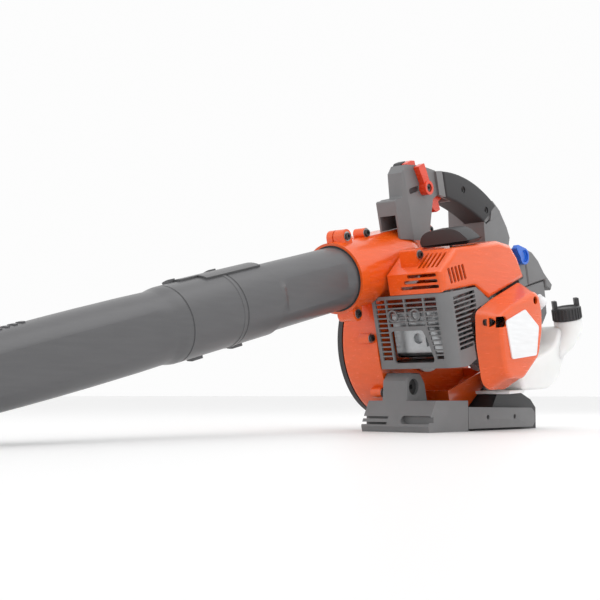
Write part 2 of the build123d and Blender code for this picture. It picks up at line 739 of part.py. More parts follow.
def fuel_tank():
    outer = slab(tank_face(), 60, 121)
    outer = fillet(outer.edges().group_by(Axis.Y)[-1], 4)
    tower = slab(area((-160, -30), (-170, -62), (-186, -46), (-206, -30), (-206, -24), (-172, -24), radius=4),
                 cap_v - 16, cap_v + 16)
    outer += tower
    outer += rod_w(neck_radius, -30, cap_w, cap_u, cap_v)
    inner = slab(offset(tank_face(), -tank_wall), 60 + tank_wall, 121 - tank_wall)
    inner += rod_w(13, -40, cap_w + 5, cap_u, cap_v)
    return outer - inner


def fuel_cap():
    seat = cap_w + slip_gap
    cap = rod_w(cap_radius, seat, seat + 18, cap_u, cap_v)
    for k in range(20):
        angle = math.radians(18 * k)
        cap -= rod_w(1.2, seat + 4, seat + 20, cap_u + cap_radius * math.cos(angle),
                     cap_v + cap_radius * math.sin(angle))
    for side in (-1, 1):
        lug_u = cap_u + side * 14.5
        cap += block(lug_u - 4, lug_u + 4, cap_v - 5, cap_v + 5, seat + 17, seat + 27)
    cap += rod_w(12.4, seat - 9, seat + 1, cap_u, cap_v)
    return cap


# ---- starter ----
def starter_pulley():
    wheel = rod_v(pulley_radius, pulley_v - 5, pulley_v + 5)
    groove = rod_v(pulley_radius + 1, pulley_v - 2.2, pulley_v + 2.2)
    wheel -= groove - rod_v(pulley_radius - 7, pulley_v - 3, pulley_v + 3)
    for k in range(3):
        spot = Rot(0, 120 * k, 0) * rod_v(5, pulley_v - 9, pulley_v + 9, 14, 0)
        wheel -= spot
    return wheel - rod_v(5 + running_gap, pulley_v - 20, pulley_v + 20)


def rope_coil():
    inner = pulley_radius - 7 + 0.05
    return rod_v(inner + 4.5, pulley_v - 2.1, pulley_v + 2.1) - rod_v(inner, pulley_v - 4, pulley_v + 4)


def recoil_spring():
    """A flat coil, drawn as three thin rings joined by a strip at each side."""
    v0 = pulley_v + 6.5
    coil = rod_v(7.6, v0, v0 + 6) - rod_v(6.6, v0 - 1, v0 + 7)
    for radius in (11, 15, 19, 23):
        coil += rod_v(radius, v0, v0 + 6) - rod_v(radius - 1, v0 - 1, v0 + 7)
    coil += block(6.8, 22.6, v0, v0 + 6, -0.5, 0.5)
    return coil


def pull_handle():
    v0, v1 = pull_handle_v0, pull_handle_v1
    u, w = pull_handle_u, pull_handle_w
    profile = make_face(Polyline((v0, w - 5), (v0 + 5, w + 8), (v0 + 16, w + 13), (v1 - 26, w + 13),
                                 (v1 - 16, w + 11), (v1, w - 4), (v1 - 4, w - 8), (v1 - 26, w - 8),
                                 (v0 + 8, w - 8), close=True))
    bar = extrude(Plane.YZ.offset(u - 14) * profile, 28)
    bar = fillet(bar.edges().filter_by(Axis.Y), 3)
    return bar - rod_w(rope_radius + 0.2, w - 20, w + 4, u, (v0 + v1) / 2)


# ---- base ----
def base_parts():
    front = area((base_front, 0), (base_front + 2, 7), (base_front - 4, 20), (base_front - 14, block_height),
                 (block_rear, block_height), (block_rear, 0))
    body = slab(front, fan_left + 1, base_left)
    nose = area((base_front, 0), (base_front + 2, 7), (base_front - 4, 20), (base_front - 14, block_height),
                (78, block_height), (78, 0))
    body += slab(nose, base_right, 20)
    body = fillet(body.edges().filter_by(Axis.Z).sort_by(Axis.X)[-2:], 3)
    hollow = area((base_front - 8, -1), (base_front - 18, block_height - 4),
                  (block_rear + 6, block_height - 4), (block_rear + 6, -1))
    body -= slab(hollow, 24, base_left - 4)
    body += block(block_rear, base_front - 8, base_right + 2, base_left - 2, 0, floor_web)
    bracket = area((92, block_height - 2), (90, 62), (82, 72), (62, 72), (52, 60), (46, block_height - 2))
    bracket = slab(bracket, 16, 52)
    body += fillet(bracket.edges().group_by(Axis.Y)[-1], 2)
    recess = block(base_front - 9, base_front + 5, 52, base_left + 1, 10, 20)
    body -= fillet(recess.edges().filter_by(Axis.X), 4.5)
    for z in (9, 16):
        body -= block(base_front - 9, base_front + 5, base_right - 1, 32, z, z + 3)
    body += block(-60, block_rear + 1, base_right, 60, 0, floor_web)
    body += block(base_rear, -58, base_right, 14, 0, 16)
    rear = area((base_rear, 0), (base_rear, 28), (-155, 39), (-124, 50), (-72, 50), (-58, 30), (-58, 0))
    body += slab(rear, 20, base_left - 14)
    body += block(base_rear, -120, base_right, 22, 0, 22)
    body -= slab(area((base_rear + 5, -1), (base_rear + 5, 24), (-153, 34), (-123, 45), (-76, 45), (-63, 28),
                      (-63, -1)), 25, base_left - 19)
    ear_x, ear_z = rear_bush
    ear = area((ear_x - 13, 44), (ear_x - 13, ear_z + 8), (ear_x - 6, ear_z + 13), (ear_x + 6, ear_z + 13),
               (ear_x + 13, ear_z + 6), (ear_x + 13, 44))
    body += slab(ear, 28, 42)
    body -= rod_v(bush_radius, 10, 80, *front_bush)
    body -= rod_v(bush_radius, 20, 50, *rear_bush)
    body += slab(area((block_rear + 1, 0), (block_rear + 1, 26), (-58, 26), (-58, 0)), 60, base_left - 14)
    bar = area((block_rear - 1.0, 3), (block_rear - 1.0, 30), (-134, 28), (-142, 22), (-142, 9), (-136, 3))
    side_bar = slab(bar, base_left - 13.6, base_left)
    for x in (-25, -90):
        side_bar -= rod_v(3, base_left - 5, base_left + 5, x, 17)
    return body, side_bar


def bush(place, v_high):
    x, z = place
    ring = rod_v(bush_radius, fan_left + 1, v_high, x, z) - rod_v(3.2, 0, 100, x, z)
    return ring


# ---- assembly ----
right_half, left_half = fan_housing()
keep("fan_housing_right", right_half)
keep("fan_housing_left", left_half)
keep("housing_screws", group([left_screw(u, w, lug_reach, 2.4, 15) for u, w in fan_lugs()]
                             + [left_screw(*lower_spot, 15, 2.5, 24), left_screw(*clamp_spot, 15, 2.5, 24)]
                             + [right_screw(u, w, fan_right - grille_depth, 2.2, grille_depth + 2.4)
                                for u, w in grille_spots()]))
keep("intake_grille", intake_grille())

tube = rod_u(tube_radius, tube_start, tube_end, 0, outlet_w)
tube -= rod_u(tube_radius - tube_wall, tube_start - 1, tube_end + 1, 0, outlet_w)
collar_inner = outlet_radius - shell_wall
tube += (rod_u(collar_inner, tube_start, tube_start + 40, 0, outlet_w)
         - rod_u(tube_radius - 0.5, tube_start - 1, tube_start + 41, 0, outlet_w))
socket_inner = tube_radius + slip_gap
socket_outer = socket_inner + socket_wall


def nozzle_tube():
    end = nozzle_end - nozzle_tip_length
    waist_radius = tube_radius - 1.0
    profile = make_face(Polyline(
        (socket_start, socket_inner), (socket_start, socket_outer), (socket_end, socket_outer),
        (socket_end + 8, socket_outer - 1.2), (nozzle_waist, waist_radius), (end, nozzle_radius),
        (nozzle_end, nozzle_radius),
        (nozzle_end, nozzle_radius - tube_wall), (end, nozzle_radius - tube_wall),
        (nozzle_waist, waist_radius - tube_wall), (socket_end, socket_inner - 1.5), (tube_end + 2, socket_inner - 1.5),
        (tube_end + 2, socket_inner), close=True))
    body = revolve(Plane.XY * profile, Axis.X)
    body = Pos(0, 0, outlet_w) * body
    plate = block(socket_start, tube_end, -17, 17, outlet_w + socket_inner - 4.8, outlet_w + socket_outer + 2.4)
    plate -= rod_u(socket_inner + 0.5, socket_start - 1, tube_end + 20, 0, outlet_w)
    body += plate
    for u in (tube_end - 60, tube_end + 2):
        body += block(u - 5, u + 5, -12, -4, outlet_w + socket_inner - 2.8, outlet_w + socket_outer + 4.4)
        body -= rod_u(socket_inner, u - 6, u + 6, 0, outlet_w) & block(u - 6, u + 6, -13, -3, 0, 300)
    for u in (tube_end - 70, tube_end - 8):
        lug = block(u - 8, u + 8, -4, 4, outlet_w - socket_outer - 3, outlet_w - socket_inner + 2.8)
        body += lug - rod_u(socket_inner + 0.5, u - 9, u + 9, 0, outlet_w)
    return body


keep("blow_tube", tube)
keep("nozzle_tube", nozzle_tube())

keep("impeller", impeller())
keep("impeller_nut", extrude(Plane.XZ.offset(28) * RegularPolygon(9, 6), 6) - rod_v(fan_shaft_radius, -60, 0))
keep("crankshaft", crankshaft())
keep("flywheel", flywheel())
pawl = slab(area((14, 4), (24, 8), (26, 4), (16, -3), radius=1), flywheel_v + flywheel_width,
            flywheel_v + flywheel_width + 3)
keep("starter_pawls", group([pawl, Rot(0, 180, 0) * pawl]))

case_right, case_left = crankcase()
keep("crankcase_right", case_right)
keep("crankcase_left", case_left)
keep("main_bearings", group([bearing(v, bearing_radius, shaft_radius + running_gap, bearing_width)
                             for v in main_bearing_places()]))
keep("shaft_seals", group([rod_v(seal_radius, v, v + 4.5) - rod_v(shaft_radius + 0.1, v - 1, v + 6)
                           for v in (19.5, 90.7)]))
keep("cylinder", cylinder())
keep("cylinder_bolts", group([Pos(u, v, deck_w + 7) * screw(2.0, 19, 4, 4) for u, v in base_bolts()]))
keep("spark_plug", spark_plug())
keep("spark_plug_cap", spark_plug_cap())
keep("piston", piston())
keep("piston_ring", piston_ring())
pin_half = bore / 2 - 3.0
keep("piston_pin", rod_v(4, cylinder_v - pin_half, cylinder_v + pin_half, 0, crown_rest_w - pin_to_crown))
keep("connecting_rod", connecting_rod())
keep("crank_pin", rod_v(crank_pin_radius, cylinder_v - web_gap / 2 + 0.15, cylinder_v + web_gap / 2 - 0.15,
                        0, -stroke / 2))
keep("muffler", muffler())
keep("muffler_guard", muffler_guard())
keep("cylinder_cover", cylinder_cover())

module = block(-66, -47, 99, 111, -10, 26) + block(-48, -flywheel_radius - 1.0, 101, 108, -9, -3)
module += block(-48, -flywheel_radius - 1.0, 101, 108, 17, 23)
keep("ignition_module", module - rod_v(flywheel_radius + 0.5, 90, 120))
keep("intake_manifold", block(-46, -31, 52, 76, 36, 57) - rod_u(6.5, -50, -30, cylinder_v, 46.5))
keep("carburettor", carburettor())
keep("throttle_shaft", rod_v(2.0, 44, 86, -62, 46) + rod_v(9, 41, 44, -62, 46)
     + rod_u(7.6, -62.5, -61.5, cylinder_v, 46))
keep("air_box", air_box())
keep("filter_holder", filter_holder())
keep("air_filter", fillet(block(-146, -116, 64, 106, 48.5, 68).edges().filter_by(Axis.Z), 5))
keep("air_filter_cover", filter_cover())
keep("choke_knob", choke_knob())
keep("primer_bulb", rod_v(10.5, 108, 113, -138, 21) + Pos(-138, 113, 21) * Sphere(8.5))

lead_points = [(-37.6, 69.7, 98.6), (-46, 80, 99), (-60, 91, 90), (-66, 99, 70), (-62, 104, 48), (-57, 105, 26)]
keep("ignition_lead", routed(lead_points, 2.5))
hose_points = [(-100, 84, -46), (-100, 84, -28), (-92, 78, -10), (-80, 70, 4), (-66, 65, 12), (-65, 64, 20)]
keep("fuel_hose", routed(hose_points, 2.5))

keep("starter_housing", starter_housing())
keep("starter_badge", slab(badge_face(), side_v + part_gap + starter_depth,
                           side_v + part_gap + starter_depth + badge_depth))
keep("starter_pulley", starter_pulley())
keep("rope_coil", rope_coil())
keep("recoil_spring", recoil_spring())
rope_top = pull_handle_w - 8
rope_lead = pulley_radius - 0.7
rope_points = [(-rope_lead, pulley_v, 0), (-rope_lead, pulley_v, 18), (-19, 123, 38), (-10, 106, 66),
               (4, 88, 96),
               (pull_handle_u, (pull_handle_v0 + pull_handle_v1) / 2, rope_top)]
keep("starter_rope", routed(rope_points, rope_radius))
keep("starter_handle", pull_handle())

handle_right, handle_left, sleeve = handle_parts()
keep("handle_right", handle_right)
keep("handle_left", handle_left)
keep("handle_grip", sleeve)
starter_seat = side_v + part_gap + 9
cover_screws = [left_screw(*cover_lug, cover_lug_seat, 2.2, 16)]
cover_screws += [left_screw(u, w, starter_seat, 2.1, 14) for u, w in starter_screw_spots()]
cover_screws += [left_screw(u, w, grip_left - 6, 2.0, 5.5, 3.4, 3) for u, w in handle_screw_spots()]
keep("cover_screws", group(cover_screws))
keep("throttle_trigger", trigger())
keep("trigger_pin", rod_v(2.0, 10, 34, *trigger_pivot))
keep("throttle_lever", throttle_lever())
keep("lever_screw", left_screw(*lever_pivot, front_leg_left + slip_gap + 6.2, 2.0, 12, 4.6, 2.6))
keep("stop_switch", slab(switch_face(), 24, 32))

keep("fuel_tank", fuel_tank())
keep("fuel_cap", fuel_cap())

base, side_bar = base_parts()
nodes["base_stand"] = base
nodes["base_side_bar"] = side_bar
nodes["base_bushes"] = group([bush(front_bush, 48), bush(rear_bush, 40)])

os.makedirs("parts", exist_ok=True)
for name, shape in nodes.items():
    export_step(shape, "parts/" + name + ".step")
print(len(nodes), "nodes")
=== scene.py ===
import json
from math import atan2, cos, pi, radians, sin, sqrt
import bmesh
import bpy
from mathutils import Matrix, Vector


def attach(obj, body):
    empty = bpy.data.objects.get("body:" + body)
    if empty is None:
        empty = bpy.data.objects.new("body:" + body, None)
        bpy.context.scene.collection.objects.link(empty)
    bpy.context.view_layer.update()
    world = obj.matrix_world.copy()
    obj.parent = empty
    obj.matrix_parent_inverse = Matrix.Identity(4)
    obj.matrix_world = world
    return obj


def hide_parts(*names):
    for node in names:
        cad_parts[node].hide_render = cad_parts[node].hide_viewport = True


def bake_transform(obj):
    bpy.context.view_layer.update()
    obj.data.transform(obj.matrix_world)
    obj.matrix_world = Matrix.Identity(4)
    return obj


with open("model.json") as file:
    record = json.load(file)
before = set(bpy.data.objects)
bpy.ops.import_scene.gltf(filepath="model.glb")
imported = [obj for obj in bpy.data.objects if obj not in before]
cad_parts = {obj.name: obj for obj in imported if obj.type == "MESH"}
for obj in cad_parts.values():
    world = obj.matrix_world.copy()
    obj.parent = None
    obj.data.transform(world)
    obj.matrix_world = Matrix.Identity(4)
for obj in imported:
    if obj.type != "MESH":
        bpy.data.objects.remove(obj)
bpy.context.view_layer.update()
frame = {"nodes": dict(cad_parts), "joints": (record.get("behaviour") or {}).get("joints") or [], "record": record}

# ---- the unit frame: u forward along the tube, v left, w up, crank axis at the origin, in millimetres ----
joints = {joint["name"]: joint for joint in frame["joints"]}
tubeAxis = Vector(joints["nozzle_twist"]["axis"])
pitch = atan2(-tubeAxis.z, tubeAxis.x)
crankAxis = Vector(joints["rotor_spin"]["pos_m"])
metres = Matrix.Scale(0.001, 4)
unitFrame = Matrix.Translation(crankAxis) @ Matrix.Rotation(pitch, 4, "Y") @ metres
print("stage: frame loaded,", len(frame["nodes"]), "nodes")


# ---- shader helpers ----
class Value:  # one socket of a shader, used like a number
    def __init__(self, shader, socket):
        self.shader, self.socket = shader, socket

    def maths(self, operation, first, second):
        return self.shader.node("ShaderNodeMath", {"operation": operation}, {0: first, 1: second})

    def __add__(self, other): return self.maths("ADD", self, other)
    def __radd__(self, other): return self.maths("ADD", other, self)
    def __mul__(self, other): return self.maths("MULTIPLY", self, other)
    def __rmul__(self, other): return self.maths("MULTIPLY", other, self)


class Shader:  # a material under construction
    def __init__(self, name):
        self.material = bpy.data.materials.new(name)
        self.material.use_nodes = True
        self.tree = self.material.node_tree
        self.surface = self.tree.nodes["Principled BSDF"]

    def node(self, kind, settings, inputs, output=0):
        made = self.tree.nodes.new(kind)
        for key, value in settings.items():
            setattr(made, key, value)
        for key, value in inputs.items():
            if isinstance(value, Value):
                self.tree.links.new(value.socket, made.inputs[key])
            else:
                made.inputs[key].default_value = value
        return Value(self, made.outputs[output])

    def place(self, turn=(0, 0, 0), stretch=(1, 1, 1)):
        spot = self.node("ShaderNodeTexCoord", {}, {}, "Object")
        return self.node("ShaderNodeMapping", {}, {"Vector": spot, "Rotation": turn, "Scale": stretch})

    def noise(self, where, scale, detail=2.0, roughness=0.5):
        return self.node("ShaderNodeTexNoise", {}, {"Vector": where, "Scale": scale, "Detail": detail,
                                                    "Roughness": roughness})

    def cells(self, where, scale):
        return self.node("ShaderNodeTexVoronoi", {}, {"Vector": where, "Scale": scale})

    def between(self, value, low, high):  # 0 at low, 1 at high
        return self.node("ShaderNodeMapRange", {}, {0: value, 1: low, 2: high})

    def mixColour(self, factor, first, second):
        return self.node("ShaderNodeMix", {"data_type": "RGBA"}, {0: factor, 6: first, 7: second}, 2)

    def bump(self, height, depth, strength=1.0, under=None):
        inputs = {"Height": height, "Distance": depth, "Strength": strength}
        if under:
            inputs["Normal"] = under
        return self.node("ShaderNodeBump", {}, inputs)

    def set(self, **sockets):  # coatWeight=0.3 sets the socket "Coat Weight"
        for key, value in sockets.items():
            name = key[0].upper() + "".join(" " + c if c.isupper() else c for c in key[1:])
            socket = self.surface.inputs[name]
            if isinstance(value, Value):
                self.tree.links.new(value.socket, socket)
            else:
                socket.default_value = value
        return self.material


def shade(colour, amount):  # a colour made lighter or darker by a share
    return tuple(min(1.0, c * amount) for c in colour[:3]) + (1.0,)


# ---- finishes: each takes its colour from the record's slot ----
slotColour = {entry["slot"]: entry["base_color"] for entry in frame["record"]["materials"]}
glossValues = {"peel": 520.0, "peelDepth": 0.00005, "streaks": 26.0, "tint": 0.05, "speck": 1900.0}
satinValues = {"grain": 2100.0, "grainDepth": 0.00007, "cloud": 34.0, "tint": 0.10}
metalValues = {"brush": 900.0, "mottle": 60.0, "pit": 1300.0}


def glossPlastic(name, colour, roughness, coat=0.0):  # moulded, polished tool
    s = Shader(name)
    where = s.place()
    flow = s.noise(s.place(turn=(0, pitch, 0), stretch=(1, 4, 9)), glossValues["streaks"], 3.0)
    tint = s.between(flow, 0.3, 0.7)
    base = s.mixColour(tint, shade(colour, 1 - glossValues["tint"]), shade(colour, 1 + glossValues["tint"]))
    dust = s.between(s.noise(where, glossValues["speck"], 1.0), 0.66, 0.80)
    base = s.mixColour(dust * 0.05, base, (0.85, 0.83, 0.80, 1))
    rough = flow * 0.10 + (roughness - 0.05) + dust * 0.12
    peel = s.bump(s.noise(where, glossValues["peel"], 2.0), glossValues["peelDepth"], 0.5)
    return s.set(baseColor=base, roughness=rough, normal=peel, coatWeight=coat, coatRoughness=0.08)


def satinPlastic(name, colour, roughness, grainSize=1.0):  # moulded, spark-eroded grain
    s = Shader(name)
    where = s.place()
    cloud = s.noise(where, satinValues["cloud"], 4.0)
    grain = s.cells(where, satinValues["grain"] / grainSize)
    # the cloud gives random tone; the grain share is painted shade, darker in the grain's pits and lighter on its
    # peaks
    tint = s.between(cloud, 0.3, 0.7) * 0.7 + s.between(grain, 0.0, 0.7) * 0.3
    base = s.mixColour(tint, shade(colour, 1 - satinValues["tint"]), shade(colour, 1 + satinValues["tint"]))
    rough = cloud * 0.12 + (roughness - 0.06)
    soft = s.bump(s.noise(where, satinValues["grain"] / grainSize * 0.4, 2.0), satinValues["grainDepth"], 0.35)
    fine = s.bump(grain, satinValues["grainDepth"] * grainSize, 0.45, soft)
    return s.set(baseColor=base, roughness=rough, normal=fine)


def metal(name, colour, roughness, polish=0.0):  # plated, cast or blackened, by its pits and brush marks
    s = Shader(name)
    mottle = s.noise(s.place(), metalValues["mottle"], 5.0, 0.6)
    brush = s.noise(s.place(stretch=(1, 1, 14)), metalValues["brush"], 2.0)
    pits = s.cells(s.place(), metalValues["pit"])
    base = s.mixColour(s.between(mottle, 0.3, 0.75), shade(colour, 0.78), shade(colour, 1.12))
    rough = mottle * 0.22 + brush * 0.10 + (roughness - 0.16)
    dents = s.bump(pits * (1 - polish) + brush * polish, 0.00008, 0.5)
    return s.set(baseColor=base, roughness=rough, normal=dents, metallic=1.0)


def ropeFibre(name, colour):  # braided from thin strands, the grooves between them painted dark as painted shade
    s = Shader(name)
    waves = [s.node("ShaderNodeTexWave", {"wave_type": "BANDS", "bands_direction": "DIAGONAL"},
                    {"Vector": s.place(turn=(0, turn, 0)), "Scale": 260.0, "Distortion": 1.0})
             for turn in (0.0, pi / 2)]
    weave = waves[0] * waves[1]
    # the colour follows the bump height, so the grooves between the strands get painted shade
    base = s.mixColour(weave, shade(colour, 0.45), shade(colour, 1.0))
    return s.set(baseColor=base, roughness=0.85, normal=s.bump(weave, 0.0003, 0.8))


def foam(name, colour):  # open cells, painted dark in the pores as painted shade and light on the rims as painted highlight
    s = Shader(name)
    cells = s.cells(s.place(), 700.0)
    # the cell pattern that makes the bump also paints the pores dark and the rims light: painted shade and painted
    # highlight
    base = s.mixColour(s.between(cells, 0.1, 0.6), shade(colour, 0.4), shade(colour, 1.6))
    return s.set(baseColor=base, roughness=0.95, normal=s.bump(cells, 0.0006, 1.0))


def milky(name, colour):  # thin polyethylene: light passes, nothing is seen clearly
    s = Shader(name)
    cloud = s.noise(s.place(), 22.0, 3.0)
    base = s.mixColour(s.between(cloud, 0.3, 0.7), shade(colour, 0.93), shade(colour, 1.02))
    skin = s.bump(s.noise(s.place(), 900.0, 2.0), 0.00006, 0.4)
    s.set(subsurfaceWeight=0.6, subsurfaceRadius=(0.012, 0.012, 0.011), subsurfaceScale=1.0)
    return s.set(baseColor=base, roughness=cloud * 0.15 + 0.28, normal=skin)


finishes = {
    "orange_plastic": glossPlastic("orangeGloss", slotColour["orange_plastic"], 0.26, 0.3),
    "grey_plastic": satinPlastic("greySatin", slotColour["grey_plastic"], 0.46),
    "tube_plastic": glossPlastic("tubeGloss", slotColour["tube_plastic"], 0.34),
    "dark_plastic": satinPlastic("darkSatin", slotColour["dark_plastic"], 0.50),
    "grip_rubber": satinPlastic("gripSoft", slotColour["grip_rubber"], 0.62, 1.6),
    "red_plastic": glossPlastic("redGloss", slotColour["red_plastic"], 0.28, 0.3),
    "blue_plastic": glossPlastic("blueGloss", slotColour["blue_plastic"], 0.26, 0.3),
    "white_plastic": glossPlastic("whiteBadge", slotColour["white_plastic"], 0.30),
    "tank_plastic": milky("milkyTank", slotColour["tank_plastic"]),
    "cast_aluminium": metal("castAluminium", slotColour["cast_aluminium"], 0.46),
    "plated_steel": metal("platedSteel", slotColour["plated_steel"], 0.30, 0.7),
    "dark_steel": metal("blackSteel", slotColour["dark_steel"], 0.42, 0.4),
    "black_rubber": satinPlastic("blackRubber", slotColour["black_rubber"], 0.70, 1.3),
    "filter_foam": foam("filterFoam", slotColour["filter_foam"]),
    "cord_fibre": ropeFibre("ropeFibre", slotColour["cord_fibre"]),
    "ceramic": glossPlastic("glaze", slotColour["ceramic"], 0.15, 0.6),
}
print("stage: finishes made,", len(finishes))


# ---- modelling helpers ----
def placed(name, data):  # a new object in the scene
    thing = bpy.data.objects.new(name, data)
    bpy.context.scene.collection.objects.link(thing)
    return thing


def shapely(bm, name, slot, body, nodes=(), frameOf=unitFrame, sharp=32, bevel=0.0):
    # turns a bmesh drawn in millimetres into a finished piece that rides on its body
    bm.transform(frameOf)
    mesh = bpy.data.meshes.new(name)
    bm.to_mesh(mesh)
    bm.free()
    mesh.shade_smooth()
    mesh.set_sharp_from_angle(angle=radians(sharp))
    piece = placed(name, mesh)
    mesh.materials.append(finishes[slot])
    if bevel:
        edge = piece.modifiers.new("edge", "BEVEL")
        edge.width, edge.segments, edge.limit_method = bevel * 0.001, 2, "ANGLE"
        edge.angle_limit, edge.harden_normals = radians(sharp), True
    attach(piece, body)
    if nodes:
        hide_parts(*nodes)
    return piece


bodyOf = {node: body for body, members in frame["record"]["behaviour"]["bodies"].items() for node in members}
slotOf = {part["node"]: part["material_slot"] for part in frame["record"]["subparts"]}


def camel(node):
    head, *tail = node.split("_")
    return head + "".join(word.capitalize() for word in tail)


def cleanCopy(node):  # a part's mesh with its flat areas joined again
    bm = bmesh.new()
    bm.from_mesh(frame["nodes"][node].data)
    bmesh.ops.remove_doubles(bm, verts=bm.verts, dist=0.00001)
    bmesh.ops.dissolve_limit(bm, angle_limit=radians(0.6), verts=bm.verts, edges=bm.edges)
    return bm


def softened(node, width):  # the part with its sharp edges eased
    shape = cleanCopy(node)
    shapely(shape, camel(node), slotOf[node], bodyOf[node], [node], Matrix.Identity(4), 30, width)


# ---- what the CAD shapes need: their finish, and an eased edge where the light catches it ----
easedEdges = {
    "fan_housing_left": 0.8, "fan_housing_right": 0.8, "intake_grille": 0.5, "cylinder_cover": 1.0,
    "muffler_guard": 0.5, "starter_badge": 0.3, "handle_left": 1.6, "handle_right": 1.6,
    "throttle_trigger": 0.7, "throttle_lever": 0.7, "stop_switch": 0.6, "choke_knob": 0.6,
    "air_box": 1.4, "air_filter_cover": 2.2, "filter_holder": 0.5, "base_side_bar": 1.2,
    "muffler": 0.5, "housing_screws": 0.2, "cover_screws": 0.2,
}
for node, thing in frame["nodes"].items():
    thing.data.materials.clear()
    thing.data.materials.append(finishes[slotOf[node]])
for node, width in easedEdges.items():
    softened(node, width)
print("stage: parts finished and edges eased")


# ---- drawing in the unit frame ----
outletW = 108.3          # height of the blow tube's axis over the crank axis
fullTurn = 2 * pi


def along(points, spacing):  # the same line with extra points, so that it can bend
    made = [points[0]]
    for (u0, r0), (u1, r1) in zip(points, points[1:]):
        count = max(1, int(sqrt((u1 - u0) ** 2 + (r1 - r0) ** 2) / spacing))
        made += [(u0 + (u1 - u0) * k / count, r0 + (r1 - r0) * k / count) for k in range(1, count + 1)]
    return made


def arcThrough(a, b, c, count):  # points on the round line from a over b to c
    (ax, ay), (bx, by), (cx, cy) = a, b, c
    d = 2 * (ax * (by - cy) + bx * (cy - ay) + cx * (ay - by))
    aa, bb, cc = ax * ax + ay * ay, bx * bx + by * by, cx * cx + cy * cy
    ox = (aa * (by - cy) + bb * (cy - ay) + cc * (ay - by)) / d
    oy = (aa * (cx - bx) + bb * (ax - cx) + cc * (bx - ax)) / d
    radius = sqrt((ax - ox) ** 2 + (ay - oy) ** 2)
    start = atan2(ay - oy, ax - ox)
    turn = (atan2(cy - oy, cx - ox) - start) % fullTurn
    if (atan2(by - oy, bx - ox) - start) % fullTurn > turn:
        turn -= fullTurn
    return [(ox + radius * cos(start + turn * k / count), oy + radius * sin(start + turn * k / count))
            for k in range(count + 1)]


def lathe(bm, points, steps, axis=(1, 0, 0), centre=(0, 0, outletW)):
    # turns a closed (along, radius) outline round an axis through centre
    axis = Vector(axis)
    side = Vector((0, 0, 1)) if abs(axis.z) < 0.5 else Vector((1, 0, 0))
    verts = [bm.verts.new(Vector(centre) + axis * u + side * r) for u, r in points]
    edges = [bm.edges.new(pair) for pair in zip(verts, verts[1:] + verts[:1])]
    bmesh.ops.spin(bm, geom=verts + edges, cent=centre, axis=axis, angle=fullTurn, steps=steps, use_merge=True)
    bmesh.ops.recalc_face_normals(bm, faces=bm.faces)


def arcPlate(bm, u0, u1, r0, r1, startAngle, endAngle):  # a curved plate on the tube, angles from the left
    corners = [(u0, r0), (u1, r0), (u1, r1), (u0, r1)]
    face = bm.faces.new([bm.verts.new((u, r, outletW)) for u, r in corners])
    middle = (0, 0, outletW)
    bmesh.ops.rotate(bm, cent=middle, verts=face.verts, matrix=Matrix.Rotation(radians(startAngle), 3, "X"))
    bmesh.ops.spin(bm, geom=[face, *face.edges, *face.verts], cent=middle, axis=(1, 0, 0),
                   angle=radians(endAngle - startAngle), steps=8)


def roundOver(bm, face, edge, segments):  # rounds the rim of a flat end by small raised insets
    for k in range(segments):
        low, high = pi / 2 * k / segments, pi / 2 * (k + 1) / segments
        bmesh.ops.inset_region(bm, faces=[face], thickness=edge * (cos(low) - cos(high)),
                               depth=edge * (sin(high) - sin(low)), use_even_offset=True, use_boundary=True)


def slab(bm, outline, low, high, corner=0.0, edge=0.0, segments=3, taper=1.0, roundAll=False, pressed=False):
    # a closed (u, w) outline thickened from v = low to v = high, its corners and rims rounded
    face = bm.faces.new([bm.verts.new((u, low, w)) for u, w in outline])
    if corner:
        others = set(bm.faces) - {face}
        bmesh.ops.bevel(bm, geom=list(face.verts), offset=corner, offset_type="OFFSET", segments=segments + 1,
                        profile=0.5, affect="VERTICES", material=-1)
        face = max(set(bm.faces) - others, key=lambda f: f.calc_area())
    grown = bmesh.ops.extrude_face_region(bm, geom=[face])
    top = [v for v in grown["geom"] if isinstance(v, bmesh.types.BMVert)]
    topFace = [f for f in grown["geom"] if isinstance(f, bmesh.types.BMFace)][0]
    bmesh.ops.translate(bm, verts=top, vec=(0, high - low - (edge if pressed else 0), 0))
    if taper != 1.0:
        middle = sum((v.co for v in top), Vector()) / len(top)
        bmesh.ops.scale(bm, verts=top, vec=(taper, 1, taper), space=Matrix.Translation(-middle))
    parts = set(top) | set(face.verts)
    bmesh.ops.recalc_face_normals(bm, faces=[f for f in bm.faces if all(v in parts for v in f.verts)])
    if edge and not pressed:
        rims = [*topFace.edges, *(face.edges if roundAll else [])]
        bmesh.ops.bevel(bm, geom=rims, offset=edge, offset_type="OFFSET", segments=segments, profile=0.5,
                        affect="EDGES", material=-1, clamp_overlap=True)
    elif edge:
        roundOver(bm, topFace, edge, segments)


def carved(bm, *drawCutters):  # takes shapes out of a piece while it is still in millimetres
    def loose(shape, name):
        bmesh.ops.recalc_face_normals(shape, faces=shape.faces)
        mesh = bpy.data.meshes.new(name)
        shape.to_mesh(mesh)
        shape.free()
        return placed(name, mesh)

    blank = loose(bm, "blank")
    for draw in drawCutters:
        cutterShape = bmesh.new()
        draw(cutterShape)
        cutter = loose(cutterShape, "cutter")
        cut = blank.modifiers.new("cut", "BOOLEAN")
        cut.object, cut.operation, cut.solver = cutter, "DIFFERENCE", "EXACT"
        bpy.context.view_layer.update()
        result = bpy.data.meshes.new_from_object(blank.evaluated_get(bpy.context.evaluated_depsgraph_get()))
        blank.modifiers.clear()
        blank.data = result
        bpy.data.objects.remove(cutter)
    bm = bmesh.new()
    bm.from_mesh(blank.data)
    bpy.data.objects.remove(blank)
    return bm


def smoothStep(x, low, high):
    t = min(1.0, max(0.0, (x - low) / (high - low)))
    return t * t * (3 - 2 * t)


